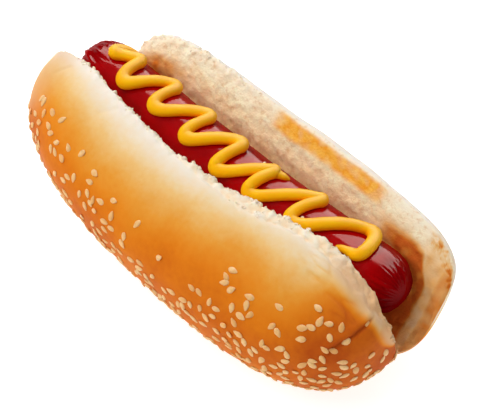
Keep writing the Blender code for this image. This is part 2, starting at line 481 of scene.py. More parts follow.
@dataclass
class Covering:
    """Where each point of the roll lies, and what covers it there."""

    points: np.ndarray
    x: np.ndarray  # place along the roll
    run: np.ndarray  # distance from the lip over the crust
    inside: np.ndarray  # distance from the lip over the cut face
    crown: np.ndarray  # whether it is on the crown
    edge: np.ndarray  # distance from the lip where the crust begins
    torn: np.ndarray  # how much the crust tore there, from 0 to 1
    crust: np.ndarray  # 1 on crust and 0 on bare crumb


def covering(points, values):
    x, run, side = np.array(values, float).T
    crown = side > 0.0
    torn_edge = eased(x, TORN_EDGE) + layered(points, TORN_RAGGED)
    edge = np.where(crown, torn_edge, 0.9 + 0.7 * uneven(points, 5.0, 2.6))
    torn = smooth_step(x, -14.0, 8.0) * crown
    soft = 0.3 + 0.4 * torn
    crust = smooth_step(run, edge - soft, edge + soft)
    return Covering(points, x, run, -run, crown, edge, torn, crust)


def crumb_relief(on):
    """How far the bare crumb stands out: its sponge, the tufts on the crown's lip and the torn band."""
    sponge = layered(on.points, SPONGE) * (0.5 + 0.6 * smooth_step(on.inside, 3.0, 9.0))
    tufts = TUFT_HEIGHT * np.maximum(uneven(on.points, 2.7, 3.3), -0.1)
    tufts += SMALL_TUFT_HEIGHT * np.maximum(uneven(on.points, 1.3, 1.3), -0.2)
    tufts = tufts * (0.45 + 0.55 * bump(on.run + 0.3, 1.6)) + 0.15 * uneven(on.points, 0.8, 6.6)
    tufts *= on.crown * smooth_step(on.run, -5.0, -0.5) * (1.0 - on.crust)
    return sponge + tufts + layered(on.points, RUCKS) * on.torn * (on.run > 0.0)


def crease_and_fold(on):
    """How deep in the crease each point lies, and how high on the ridge beside it, from 0 to 1."""
    creased = on.crown * between(on.run, (2.0, 5.0), (23.0, 27.0))
    beyond = on.x - np.interp(on.run, *zip(*CREASE))
    return creased * bump(beyond, CREASE_WIDTH), creased * bump(beyond - FOLD_PLACE, FOLD_WIDTH)


def wrinkled_and_valley(on):
    """Where the crown's skin is wrinkled, and how deep between two wrinkles each point lies."""
    wrinkled = on.crown * between(on.x, (42.0, 54.0), (69.0, 75.0)) * between(on.run, (0.0, 3.0), (9.0, 18.0))
    slanting = (on.x + 0.5 * on.run) / WRINKLE_LENGTH
    lengthwise = columns(slanting, on.run / WRINKLE_WIDTH, np.zeros_like(on.x))
    return wrinkled, wrinkled * bump(uneven(lengthwise, 1.0, 12.3), 0.14)


def crust_relief(on):
    """How far the crust stands out, apart from its slow swells."""
    crease, fold = crease_and_fold(on)
    wrinkled, valley = wrinkled_and_valley(on)
    relief = 0.02 * uneven(on.points, 2.6, 6.1) + FOLD_HEIGHT * fold - CREASE_DEPTH * crease
    relief += WRINKLE_HEIGHT * (wrinkled * uneven(on.points, 4.5, 3.6) - valley)
    for path in DENTS:
        relief -= DENT_DEPTH * on.crown * bump(distance_to_path(on.x, on.run, path), DENT_WIDTH)
    return relief


def lip_fluff(on):
    """How far the base's lip stands out in lumps towards the far end."""
    fluffy = (1.0 - on.crown) * (1.0 - smooth_step(on.x, -30.0, -5.0)) * bump(on.run, 3.0)
    return fluffy * layered(on.points, FLUFF)


def near_narrowing(on):
    """How far the pale band along the crown's lip has narrowed towards the near end, from 0 to 1."""
    return smooth_step(on.x, 70.0, 78.0)


def browning(on):
    """How brown the crust is, from 0 to 1, with painted shade added in the crease and between the wrinkles.
    """
    crease = crease_and_fold(on)[0]
    valley = wrinkled_and_valley(on)[1]
    narrow = near_narrowing(on)
    outside = on.run < CROWN_UNDERSIDE
    crown = np.interp(on.run, *zip(*CROWN_BAKE))
    crown += 0.11 * smooth_step(-on.x, 45.0, 72.0) * smooth_step(on.run, 1.0, 6.0)
    near = 0.95 * smooth_step(on.run, 1.5 - narrow, 12.5 - 6.0 * narrow)
    crown += (near - crown) * smooth_step(on.x, 50.0, 74.0) * outside
    # Painted shade in the crease and in the valleys between the wrinkles.
    crown += 0.3 * crease + 0.1 * valley
    crown = np.maximum(crown, 0.7 * smooth_step(on.x, 77.0, 79.3) * outside)
    base = np.interp(on.run, *zip(*BASE_BAKE))
    base += 0.16 * smooth_step(on.x, 56.0, 70.0) * smooth_step(on.run, 0.0, 3.0)
    patches = smooth_step(on.run, 2.0, 14.0) * layered(on.points, BAKE_PATCHES)
    return np.where(on.crown, crown, base) + patches


def lip_shading_and_tone(on):
    """How much darker the pale skin along the crown's lip is made towards both ends, from 0 to 1: painted
    shade towards the near end, a duller tone towards the far end.
    """
    narrow = near_narrowing(on)
    over_lip = 2.0 * smooth_step(on.x, 58.0, 70.0)
    near = smooth_step(on.x, 50.0, 63.0) * smooth_step(on.run, -1.0 - over_lip, 2.5 - over_lip)
    near *= 1.0 - smooth_step(on.run, 5.0 - 3.0 * narrow, 9.5 - 4.5 * narrow)
    far = smooth_step(-on.x, 58.0, 75.0) * (1.0 - smooth_step(on.run, 20.0, 32.0))
    return on.crown * (0.85 * near + 0.6 * far)


def toasted_strip(on):
    """The strip of the base's cut face that lay on the toaster, patchy and blurred at its edges."""
    middle = -3.6 + 0.5 * uneven(on.points, 9.0, 5.9)
    strip = bump(on.run - middle, 3.2, 6) * between(on.x, (-4.0, 3.0), (43.0, 47.5))
    strip *= np.clip(1.0 + 0.5 * uneven(on.points, 3.0, 7.3), 0.4, 1.0)
    return np.where(on.crown, 0.0, strip)


def staining_and_shade(on):
    """How brown the bare crumb is made, from 0 to 1: partly browning by juice and heat, partly painted shade
    and warm reflected light deep in the slit by the frankfurter and between the halves at the near end.
    """
    # The ring round the frankfurter's near end and the far patch are partly real browning, partly painted
    # shade and warm reflected light.
    ring_end = 68.0 + 4.5 * smooth_step(on.inside, 9.0, 16.0)
    ring = between(on.x, (43.0, 60.0), (ring_end - 1.5, ring_end + 1.5)) * smooth_step(on.inside, 5.0, 10.5)
    # Below the frankfurter's near tip this is painted shade in the slit.
    near_end = 0.42 * smooth_step(on.x, 65.0, 70.0) * smooth_step(on.inside, -1.0, 3.0)
    tip = 0.66 * smooth_step(on.x, 73.0, 77.0) * smooth_step(on.inside, 0.0, 3.0)
    far = 0.8 * smooth_step(-on.x, 36.0, 68.0) * smooth_step(on.inside, 5.0, 12.0)
    far *= 1.0 - 0.6 * smooth_step(-on.x, 72.0, 78.0)
    rim = smooth_step(on.x, 62.0, 72.0) * bump(on.run + 2.2, 2.6, 4)
    spots = 0.45 * smooth_step(uneven(on.points, 1.5, 4.6), 0.12, 0.35) + 0.3 * uneven(on.points, 0.8, 2.2)
    base = np.maximum.reduce([ring, near_end, tip, far]) + rim * spots
    # On the crown it is mostly painted shade where the crown meets the base at the near end.
    crown = 0.5 * smooth_step(on.x, 52.0, 66.0) * smooth_step(on.inside, 0.0, 8.0)
    crown += 0.5 * smooth_step(on.x, 64.0, 76.0)
    return np.where(on.crown, crown, base) * (1.0 + 0.4 * uneven(on.points, 3.5, 1.1))


def shape_roll(piece, values):
    """Gives the smooth roll its dents, open crumb, torn lip and crease, and stores where each finish goes."""
    mesh = piece.data
    places, normals = places_and_normals(mesh)
    on = covering(places / MM, values)
    crumb = 1.0 - on.crust
    relief = crumb_relief(on)
    swell = layered(on.points, SWELLS)
    puffed = PUFF_HEIGHT * (1.0 - on.crown) * between(on.inside, (1.0, 8.0), (12.0, 18.0))
    rise = on.crust * (swell + crust_relief(on)) + crumb * (0.5 * swell + relief + puffed) + lip_fluff(on)
    rise += CRUST_THICKNESS * on.crust * bump(on.run - on.edge, 2.5)
    rise -= GROOVE_DEPTH * on.torn * bump(on.run - on.edge, 0.7)
    rise *= 1.0 - smooth_step(np.abs(on.x), *ROLL_END)
    moved = places + normals * rise[:, None] * MM
    moved[:, 2] = np.maximum(moved[:, 2], 0.0)
    move_points(mesh, moved)
    finishes = {
        "crust": on.crust,
        "bake": browning(on),
        "lip_shade_and_tone": lip_shading_and_tone(on),
        "toast": toasted_strip(on),
        "stain_and_shade": staining_and_shade(on),
        "fresh": on.crown * (1.0 - smooth_step(on.x, 44.0, 58.0)),
        # Painted warm shade in the hollows of the torn band.
        "hollow_shade": on.torn * crumb * np.clip(0.5 - 1.1 * relief, 0.0, 1.0),
        "depth": np.where(on.crown, 0.0, on.inside / CRUMB_DEPTH),
    }
    for name, amount in finishes.items():
        store(mesh, name, np.clip(amount, 0.0, 1.0))


def feed(tree, made, inputs):
    """Gives each named or numbered input of a node its value, or the socket that feeds it."""
    for name, value in inputs.items():
        if isinstance(value, bpy.types.NodeSocket):
            tree.links.new(value, made.inputs[name])
        else:
            made.inputs[name].default_value = value


def node(tree, kind, inputs=None, **settings):
    made = tree.nodes.new(kind)
    for name, value in settings.items():
        setattr(made, name, value)
    feed(tree, made, inputs or {})
    return made


def colour(red, green, blue):
    """Linear colour of a screen colour given from 0 to 255."""
    screen = np.array([red, green, blue]) / 255.0
    linear = np.where(screen <= 0.04045, screen / 12.92, ((screen + 0.055) / 1.055) ** 2.4)
    return (*linear.tolist(), 1.0)


def ramp(tree, factor, stops):
    """A colour ramp through (place, colour)."""
    made = node(tree, "ShaderNodeValToRGB", {"Fac": factor})
    elements = made.color_ramp.elements
    while len(elements) < len(stops):
        elements.new(0.5)
    for element, (place, value) in zip(elements, stops):
        element.position = place
        element.color = value
    return made.outputs["Color"]


def blended(tree, factor, first, second):
    """The first colour turning into the second as the factor goes from 0 to 1."""
    return node(tree, "ShaderNodeMix", {0: factor, 6: first, 7: second}, data_type="RGBA").outputs[2]


def worked(tree, how, *values):
    return node(tree, "ShaderNodeMath", dict(enumerate(values)), operation=how).outputs[0]


def stored(tree, name):
    """A value that the mesh holds at each point."""
    return node(tree, "ShaderNodeAttribute", attribute_name=name).outputs["Fac"]


def mottle_group():
    """Soft mottling over a surface. Size is the width of its patches in millimetres."""
    group = bpy.data.node_groups.new("soft mottle", "ShaderNodeTree")
    group.interface.new_socket("Size", in_out="INPUT", socket_type="NodeSocketFloat")
    group.interface.new_socket("Sharpness", in_out="INPUT", socket_type="NodeSocketFloat")
    group.interface.new_socket("Mask", in_out="OUTPUT", socket_type="NodeSocketFloat")
    given = node(group, "NodeGroupInput")
    place = node(group, "ShaderNodeTexCoord")
    per_metre = worked(group, "DIVIDE", 1.0 / MM, given.outputs["Size"])
    patches = node(
        group,
        "ShaderNodeTexNoise",
        {"Vector": place.outputs["Object"], "Scale": per_metre, "Detail": 3.0, "Roughness": 0.55},
    )
    centred = worked(group, "SUBTRACT", patches.outputs["Fac"], 0.5)
    spread = worked(group, "MULTIPLY", centred, given.outputs["Sharpness"])
    mask = node(group, "ShaderNodeClamp", {"Value": worked(group, "ADD", spread, 0.5)})
    node(group, "NodeGroupOutput", {"Mask": mask.outputs[0]})
    return group


MOTTLE = mottle_group()


def mottled(tree, size, sharpness):
    made = node(tree, "ShaderNodeGroup", node_tree=MOTTLE)
    feed(tree, made, {"Size": size, "Sharpness": sharpness})
    return made.outputs["Mask"]


def bumpy(tree, height):
    """The surface's direction, tilted by a height in metres."""
    made = node(tree, "ShaderNodeBump", {"Height": height, "Distance": 1.0, "Strength": 1.0})
    return made.outputs["Normal"]


def new_material(name):
    material = bpy.data.materials.new(name)
    material.use_nodes = True
    return material, material.node_tree, material.node_tree.nodes["Principled BSDF"]


CRUST_STOPS = (
    (0.00, colour(248, 238, 226)),
    (0.09, colour(243, 230, 212)),
    (0.17, colour(242, 222, 193)),
    (0.28, colour(240, 210, 160)),
    (0.39, colour(238, 193, 122)),
    (0.50, colour(234, 172, 86)),
    (0.60, colour(232, 155, 55)),
    (0.70, colour(229, 138, 35)),
    (0.79, colour(224, 124, 24)),
    (0.87, colour(213, 110, 22)),
    (1.00, colour(186, 80, 20)),
)
# The crumb turns warmer deeper in the slit: painted warm light thrown back from the frankfurter and crust.
CRUMB_STOPS = (  # from the lip to deep in the slit
    (0.00, colour(253, 241, 218)),
    (0.25, colour(254, 240, 208)),
    (0.50, colour(255, 238, 196)),
    (0.75, colour(255, 232, 184)),
    (1.00, colour(255, 220, 154)),
)
CRUMB_TAN = colour(246, 198, 144)
CRUMB_PORE = colour(222, 170, 106)
CRUMB_FRESH = colour(255, 242, 222)
# Painted warm shade for the hollows of the torn crumb.
CRUMB_HOLLOW_SHADE = colour(250, 212, 160)
PORE_STOPS = (  # only the darkest of the mottling is a pore
    (0.0, colour(0, 0, 0)),
    (0.6, colour(0, 0, 0)),
    (1.0, colour(255, 255, 255)),
)
TOAST_PALE = colour(254, 192, 82)
TOAST_DARK = colour(246, 160, 40)
# Browning of the crumb by juice and heat, with painted shade and warm reflected light in the same ramp.
STAIN_AND_SHADE_STOPS = (
    (0.00, colour(246, 214, 168)),
    (0.35, colour(240, 200, 146)),
    (0.50, colour(236, 178, 106)),
    (0.65, colour(226, 158, 90)),
    (0.82, colour(222, 132, 50)),
    (1.00, colour(204, 98, 34)),
)
# Painted shade on the crown's lip towards the near end, and its duller tone towards the far end.
LIP_SHADE_AND_TONE_COLOUR = colour(220, 176, 132)


def bread_material():
    material, tree, shader = new_material("bread")
    crust = stored(tree, "crust")
    stain_and_shade = stored(tree, "stain_and_shade")
    depth = stored(tree, "depth")
    grainy = worked(tree, "SUBTRACT", mottled(tree, 2.2, 2.0), 0.5)
    crust_colour = ramp(tree, worked(tree, "MULTIPLY_ADD", grainy, 0.06, stored(tree, "bake")), CRUST_STOPS)
    patchy = worked(tree, "MULTIPLY_ADD", depth, 0.55, 0.22)
    pores = ramp(tree, mottled(tree, 1.6, 3.0), PORE_STOPS)
    stained_and_shaded = node(tree, "ShaderNodeClamp", {"Value": worked(tree, "MULTIPLY", stain_and_shade, 3.0)}).outputs[0]
    layers = (
        (worked(tree, "MULTIPLY", mottled(tree, 4.6, 3.2), patchy), CRUMB_TAN),
        (worked(tree, "MULTIPLY", pores, 0.4), CRUMB_PORE),
        (worked(tree, "MULTIPLY", stored(tree, "fresh"), 0.85), CRUMB_FRESH),
        # Painted warm shade in the hollows.
        (worked(tree, "MULTIPLY", stored(tree, "hollow_shade"), 0.75), CRUMB_HOLLOW_SHADE),
        (stained_and_shaded, ramp(tree, stain_and_shade, STAIN_AND_SHADE_STOPS)),
        (stored(tree, "toast"), blended(tree, mottled(tree, 2.4, 3.0), TOAST_PALE, TOAST_DARK)),
    )
    crumb_colour = ramp(tree, depth, CRUMB_STOPS)
    for amount, laid_over in layers:
        crumb_colour = blended(tree, amount, crumb_colour, laid_over)
    surface = blended(tree, crust, crumb_colour, crust_colour)
    # The crown's lip darkened: painted shade at the near end, a duller tone at the far end.
    surface = blended(tree, stored(tree, "lip_shade_and_tone"), surface, LIP_SHADE_AND_TONE_COLOUR)
    skin_height = worked(tree, "MULTIPLY", mottled(tree, 1.2, 1.0), 0.04 * MM)
    crumb_height = worked(tree, "MULTIPLY", mottled(tree, 0.7, 2.0), 0.13 * MM)
    height = node(tree, "ShaderNodeMix", {"Factor": crust, "A": crumb_height, "B": skin_height})
    finish = {
        "Base Color": surface,
        "Roughness": worked(tree, "MULTIPLY_ADD", crust, -0.33, 0.85),
        "Specular IOR Level": 0.025,
        "Subsurface Weight": 0.18,
        "Subsurface Radius": (1.0, 0.55, 0.3),
        "Subsurface Scale": 2.0 * MM,
        "Normal": bumpy(tree, height.outputs[0]),
    }
    feed(tree, shader, finish)
    return material


bread = bread_material()
roll_surface = roll_shell()
roll = mesh_piece("bread_roll", roll_surface, bread)
shape_roll(roll, roll_surface.values)
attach(roll, "root")
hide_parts("bun")


# ---- The frankfurter ----
# A smoked sausage in a thin glossy skin, deep red. It lies loose in the slit. Its skin gathers in fine
# puckers round both ends, where it was twisted off.

FRANK_RINGS = 240
FRANK_SIDES = 192
PUCKER_DEPTH = (1.15, 0.95)  # at the far end and at the near end
PUCKER_REACH = (18.0, 12.0)  # distance from each tip where the folds die out
PUCKER_SIZE = (8.0, 1.9)  # length and width of a fold
FRANK_DENTS = ((0.25, 14.0, 4.8), (0.05, 4.0, 1.9))  # (height, width, seed)
FRANK_RED = colour(180, 0, 4)
FRANK_DARK = colour(134, 0, 3)
FRANK_TIP_SMOKE_AND_SHADE = colour(92, 0, 2)  # darker on both tips, browned by smoke, and painted shade under them


def frank_rings():
    body = FRANK_LENGTH / 2 - FRANK_DOME
    dome = body + FRANK_DOME * np.sin(np.linspace(0.0, math.pi / 2, FRANK_RINGS // 8))
    middle = np.linspace(-body, body, FRANK_RINGS - 2 * len(dome) + 2)
    around = np.linspace(0.0, 2.0 * math.pi, FRANK_SIDES + 1)
    rows = []
    for x in np.concatenate([-dome[::-1], middle[1:-1], dome]):
        radius = frank_radius(x)
        y = frank_axis_y(x) + radius * np.cos(around)
        rows.append(columns(np.full_like(around, x), y, radius * np.sin(around)))
    return rows


def shape_frank(piece):
    mesh = piece.data
    places, normals = places_and_normals(mesh)
    points = (places - np.array(AXIS)) / MM
    x, y, z = points.T
    around = np.arctan2(z, y - frank_axis_y(x))
    to_tip = FRANK_LENGTH / 2 - np.abs(x)
    reach = np.where(x > 0.0, PUCKER_REACH[1], PUCKER_REACH[0])
    near_tip = (1.0 - smooth_step(to_tip / reach, 0.25, 1.0)) * smooth_step(to_tip, 0.0, 2.5)
    streaks = FRANK_RADIUS / PUCKER_SIZE[1] * np.stack([np.cos(around), np.sin(around)])
    streaks = columns(x / PUCKER_SIZE[0], *streaks)
    ridged = np.abs(uneven(streaks, 1.0, 9.4)) + 0.5 * np.abs(uneven(streaks, 0.5, 2.7)) - 0.3
    depth = np.where(x > 0.0, PUCKER_DEPTH[1], PUCKER_DEPTH[0]) * near_tip
    rise = layered(points, FRANK_DENTS) + depth * ridged
    move_points(mesh, places + normals * rise[:, None] * MM)
    # Painted shade in the valleys between the folds.
    store(mesh, "pucker_shade", near_tip * np.clip(0.5 - 2.0 * ridged, 0.0, 1.0))
    tip = 1.0 - smooth_step(to_tip, 4.0, 15.0)
    store(mesh, "tip", tip)
    # Browned by smoke all over the tips, and painted shade under them.
    store(mesh, "smoke_and_shade", tip * (0.2 + 0.65 * smooth_step(-z, -8.5, 2.0)))


def frank_material():
    material, tree, shader = new_material("frankfurter skin")
    smoke_and_shade = stored(tree, "smoke_and_shade")
    red = blended(tree, mottled(tree, 9.0, 1.6), FRANK_RED, FRANK_DARK)
    # Painted shade in the valleys between the puckers.
    red = blended(tree, worked(tree, "MULTIPLY", stored(tree, "pucker_shade"), 0.8), red, FRANK_DARK)
    shine = worked(tree, "MULTIPLY_ADD", mottled(tree, 3.0, 1.5), 0.1, 0.17)
    finish = {
        # Painted shade under the tips, over their smoked colour.
        "Base Color": blended(tree, smoke_and_shade, red, FRANK_TIP_SMOKE_AND_SHADE),
        "Roughness": worked(tree, "MULTIPLY_ADD", stored(tree, "tip"), 0.12, shine),
        "Specular IOR Level": 0.0,
        "Coat Weight": worked(tree, "MULTIPLY_ADD", smoke_and_shade, -0.25, 0.23),
        "Coat Roughness": 0.13,
        "Subsurface Weight": 0.08,
        "Subsurface Radius": (1.0, 0.2, 0.1),
        "Subsurface Scale": 1.5 * MM,
        "Normal": bumpy(tree, worked(tree, "MULTIPLY", mottled(tree, 1.6, 1.0), 0.04 * MM)),
    }
    feed(tree, shader, finish)
    return material


def shell_of(rows):
    shell = Shell()
    shell.add_strip(rows, [[None] * len(row) for row in rows])
    return shell


frank = mesh_piece("frankfurter", shell_of(frank_rings()), frank_material())
shape_frank(frank)
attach(frank, "root")
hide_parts("sausage")


# ---- The mustard ----
# Smooth yellow mustard, squeezed from a bottle in one strand and drawn to and fro along the frankfurter.
# It sags a little, so it is flat below and round above.

MUSTARD_WIDTH = 4.05
MUSTARD_RISE = 1.2
MUSTARD_TAIL = 3.0
MUSTARD_EASE = 1.3  # how far the sharpest turns are rounded off
MUSTARD_THIN = 11.0  # the length over which the strand thins out at each end
MUSTARD_END_LOSS = 0.52  # the share of its width lost there
MUSTARD_SUNK = 0.1  # how deep its underside lies in the frankfurter's skin
MUSTARD_STEP = 0.45
MUSTARD_SIDES = 22
STROKE_SAMPLES = 120
# Each turn is (place along the roll, angle round the frankfurter from +Y, swing).
MUSTARD_TURNS = (
    (-53.8, 39.0, -7.0),
    (-59.2, 87.0, 5.0),
    (-50.8, 61.0, 5.0),
    (-47.6, 113.0, 12.0),
    (-34.6, 53.0, 12.0),
    (-31.8, 113.0, 15.0),
    (-16.6, 59.0, 10.0),
    (-15.6, 119.0, 13.0),
    (-0.6, 66.0, 12.0),
    (0.4, 128.0, 13.0),
    (15.7, 70.0, 4.5),
    (15.1, 127.5, 13.0),
    (34.0, 59.0, 7.0),
    (33.0, 124.0, 17.0),
    (53.0, 52.0, 12.0),
    (56.2, 109.0, -11.0),
    (48.6, 115.0, 0.0),
)
# The path of a lick drawn out of one turn: (place along the roll, angle).
MUSTARD_PULLED = ((13.5, 76.0), (17.0, 71.5), (18.9, 66.0), (20.6, 58.5))
MUSTARD_UNEVEN = ((0.08, 9.0, 2.4), (0.03, 2.5, 5.1))  # of its width: (share, length, seed)
MUSTARD_YELLOW = colour(255, 194, 4)
MUSTARD_DEEP = colour(254, 178, 2)
# Painted shade along the strand's low sides, where it meets the skin.
MUSTARD_EDGE_SHADE = colour(255, 140, 2)


def mustard_path():
    places = np.array([(x, math.radians(angle) * FRANK_RADIUS) for x, angle, _ in MUSTARD_TURNS])
    swings = np.array([(swing, 0.0) for _, _, swing in MUSTARD_TURNS])
    share = np.linspace(0.0, 1.0, STROKE_SAMPLES)[:, None]
    strokes = [
        start * (1.0 - share) ** 2 * (1.0 + 2.0 * share)
        + end * share**2 * (3.0 - 2.0 * share)
        + leaving * share * (1.0 - share) ** 2
        - arriving * share**2 * (1.0 - share)
        for start, end, leaving, arriving in zip(places, places[1:], swings, swings[1:])
    ]
    path = np.concatenate(strokes)
    run = run_along(path)
    offsets = np.linspace(-2.0, 2.0, 17)
    weights = np.exp(-offsets**2)
    moved = [at_runs(path, run, run + MUSTARD_EASE * offset) for offset in offsets]
    path = sum(weight * places for weight, places in zip(weights, moved)) / weights.sum()
    run = run_along(path)
    return at_runs(path, run, np.linspace(0.0, run[-1], int(run[-1] / MUSTARD_STEP)))


def mustard_rings(path, size):
    """The strand's outlines along a path over the skin. Size is its share of the full width."""
    ahead = np.gradient(path, axis=0)
    ahead /= np.linalg.norm(ahead, axis=1)[:, None]
    run = run_along(path)
    size = size * superellipse(np.clip(1.0 - np.minimum(run, run[-1] - run) / MUSTARD_TAIL, 0.0, 1.0), 2.0)
    bend = np.linalg.norm(np.gradient(ahead, axis=0), axis=1) / MUSTARD_STEP
    size *= 1.0 + 0.35 * np.clip(bend, 0.0, 0.35)
    size *= 1.0 + layered(on_line(run), MUSTARD_UNEVEN)
    radius = MUSTARD_WIDTH / 2
    lowest = -math.asin(MUSTARD_RISE / radius)
    turn = np.linspace(lowest, math.pi - lowest, MUSTARD_SIDES)
    aside = np.append(radius * np.cos(turn), radius * math.cos(lowest))
    above = np.append(MUSTARD_RISE + radius * np.sin(turn), 0.0)
    rows = []
    heights = []
    for place, direction, share in zip(path, ahead, size):
        x = place[0] - direction[1] * aside * share
        angle = (place[1] + direction[0] * aside * share) / FRANK_RADIUS
        reach = FRANK_RADIUS - MUSTARD_SUNK + np.maximum(above, 0.0) * share
        rows.append(columns(x, frank_axis_y(x) + reach * np.cos(angle), reach * np.sin(angle)))
        heights.append(np.clip(above / (MUSTARD_RISE + radius), 0.0, 1.0))
    return rows, heights


def mustard_shell():
    shell = Shell()
    path = mustard_path()
    run = run_along(path)
    thinned = 1.0 - MUSTARD_END_LOSS * (1.0 - smooth_step(np.minimum(run, run[-1] - run), 0.0, MUSTARD_THIN))
    shell.add_strip(*mustard_rings(path, thinned))
    pulled = np.array([(x, math.radians(angle) * FRANK_RADIUS) for x, angle in MUSTARD_PULLED])
    run = run_along(pulled)
    path = at_runs(pulled, run, np.linspace(0.0, run[-1], int(run[-1] / MUSTARD_STEP)))
    shell.add_strip(*mustard_rings(path, np.linspace(1.0, 0.4, len(path))))
    return shell


def mustard_material():
    material, tree, shader = new_material("mustard")
    yellow = blended(tree, mottled(tree, 5.0, 1.5), MUSTARD_YELLOW, MUSTARD_DEEP)
    # The low sides of the strand, near the skin, turn orange: painted shade.
    lows = {"Value": stored(tree, "height"), "From Min": 0.2, "From Max": 0.75, "To Min": 0.85, "To Max": 0.0}
    low = node(tree, "ShaderNodeMapRange", lows)
    finish = {
        "Base Color": blended(tree, low.outputs[0], yellow, MUSTARD_EDGE_SHADE),
        "Roughness": worked(tree, "MULTIPLY_ADD", mottled(tree, 3.0, 1.0), 0.1, 0.38),
        "Specular IOR Level": 0.08,
        "Subsurface Weight": 0.25,
        "Subsurface Radius": (1.0, 0.6, 0.1),
        "Subsurface Scale": 1.5 * MM,
    }
    feed(tree, shader, finish)
    return material


strand = mustard_shell()
mustard = mesh_piece("mustard_strand", strand, mustard_material())
store(mustard.data, "height", strand.values)
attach(mustard, "root")
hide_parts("mustard")


# ---- The sesame seeds ----
# Hulled sesame, pale and teardrop-shaped, pressed into the wet dough of the crown before baking. The
# seeds lie thickest down the crown's far side and thin out towards the lip.

SEED_LENGTH = 3.5
SEED_WIDTH = 2.15
SEED_THICKNESS = 0.85
SEED_RINGS = 7
SEED_SIDES = 10
SEED_COUNT = 330
SEED_LOWEST = 1.5  # height of the lowest ones above the floor
SEED_ROOM = (1.7, 2.6)  # least distance between two that touch, and between others
SEED_PAIRS = 0.35  # the share of them that may touch another
SEED_LIFT = 0.08  # how far their middles stand off the crust
SEED_LIMIT = (  # (place along the roll, distance from the lip where the seeds begin)
    (-80.0, 16.0),
    (-50.0, 18.0),
    (-25.0, 22.0),
    (20.0, 25.0),
    (50.0, 20.0),
    (68.0, 12.0),
    (77.0, 5.0),
    (80.0, 5.0),
)
SEED_PALE = colour(246, 208, 150)
SEED_TOASTED = colour(230, 170, 100)
rng = np.random.default_rng(11)


def seed_points():
    """One seed lying along +X with its point forwards and its flat side down."""
    rows = []
    around = np.linspace(0.0, 2.0 * math.pi, SEED_SIDES + 1)
    for share in np.linspace(0.0, math.pi, SEED_RINGS):
        along = -math.cos(share)
        full = math.sin(share) * (1.0 - 0.42 * smooth_step(along, -0.2, 1.0))
        x = np.full_like(around, along * SEED_LENGTH / 2)
        y = full * np.cos(around) * SEED_WIDTH / 2
        z = full * np.sin(around) * SEED_THICKNESS / 2
        rows.append(columns(x, y, z))
    return rows


def seed_places(mesh, values):
    """Seeds' middles and the crust's direction there, drawn by chance from the crown's crust."""
    places, normals = places_and_normals(mesh)
    x, run, side = np.array(values, float).T
    into = run - eased(x, SEED_LIMIT)
    density = 0.55 * smooth_step(into, 0.0, 3.0) + 0.6 * smooth_step(into, 8.0, 18.0)
    density += 0.9 * smooth_step(into, 18.0, 28.0)
    density *= 1.0 - smooth_step(run, 50.0, 74.0)
    density *= (side > 0.0) * (places[:, 2] > SEED_LOWEST * MM)
    clumps = np.clip(1.0 + 1.1 * uneven(places / MM, 9.0, 7.0), 0.35, 2.5)
    areas = np.zeros(len(places))
    for polygon in mesh.polygons:
        for corner in polygon.vertices:
            areas[corner] += polygon.area / 4
    chance = density * clumps * areas
    chosen = []
    for index in rng.choice(len(places), size=SEED_COUNT * 6, replace=False, p=chance / chance.sum()):
        room = SEED_ROOM[0] if rng.random() < SEED_PAIRS else SEED_ROOM[1]
        if all(np.linalg.norm(places[index] - places[other]) > room * MM for other in chosen):
            chosen.append(index)
        if len(chosen) == SEED_COUNT:
            break
    return places[chosen], normals[chosen]


def scatter(name, models, spots, material):
    """Joins one placed copy of a model for each (model, placing) into one piece."""
    shell_points = []
    shell_faces = []
    for model, matrix in spots:
        first = len(shell_points)
        points, faces = models[model]
        shell_points += [matrix @ Vector(point) for point in points]
        shell_faces += [[first + corner for corner in face] for face in faces]
    return closed_piece(name, shell_points, shell_faces, material)


def lying(place, normal, heading, tilt, scale):
    """Where a small thing lies: on its side `normal`, turned by `heading` and tipped by `tilt`."""
    turn = Vector(normal).to_track_quat("Z", "Y").to_matrix().to_4x4()
    spin = Matrix.Rotation(heading, 4, "Z") @ Matrix.Rotation(tilt, 4, "Y")
    return Matrix.Translation(place) @ turn @ spin @ Matrix.Scale(scale * MM, 4)


def seed_material():
    material, tree, shader = new_material("sesame")
    tone = blended(tree, stored(tree, "tone"), SEED_PALE, SEED_TOASTED)
    finish = {
        "Base Color": blended(tree, mottled(tree, 1.5, 1.6), tone, SEED_TOASTED),
        "Roughness": worked(tree, "MULTIPLY_ADD", mottled(tree, 1.0, 1.0), 0.15, 0.4),
        "Specular IOR Level": 0.2,
        "Subsurface Weight": 0.2,
        "Subsurface Radius": (1.0, 0.7, 0.4),
        "Subsurface Scale": 1.0 * MM,
    }
    feed(tree, shader, finish)
    return material


seed_shell = shell_of(seed_points())
spots = []
tones = []
for place, normal in zip(*seed_places(roll.data, roll_surface.values)):
    heading = rng.uniform(0.0, 2.0 * math.pi)
    tilt = rng.normal(0.0, 0.12)
    scale = rng.uniform(0.86, 1.1)
    middle = place + normal * (SEED_LIFT * MM)
    spots.append((0, lying(middle, normal, heading, tilt, scale)))
    tones += [rng.random() ** 2] * len(seed_shell.points)
seeds = scatter("sesame_seeds", [(seed_shell.points, seed_shell.faces)], spots, seed_material())
store(seeds.data, "tone", tones)
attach(seeds, "root")


# ---- The torn crumb and loose crumbs ----
# Shreds of crumb that the knife pulled out along the crown's lip, still held by it, and a few crumbs
# that fell on the frankfurter and stuck.

SHRED_COUNT = 380
SHRED_SIZE = (0.35, 1.0)
BIG_SHREDS = 0.14  # the share of them that are bigger
BIG_SHRED = 1.9  # how many times bigger
SHRED_SEEDS = (0.0, 3.7, 8.1, 12.9)
# Each crumb on the frankfurter is (place along the roll, angle round it from +Y, size).
FALLEN = ((10.0, 66.0, 1.1), (34.5, 108.0, 1.2), (36.0, 112.0, 0.8), (20.0, 122.0, 0.7))


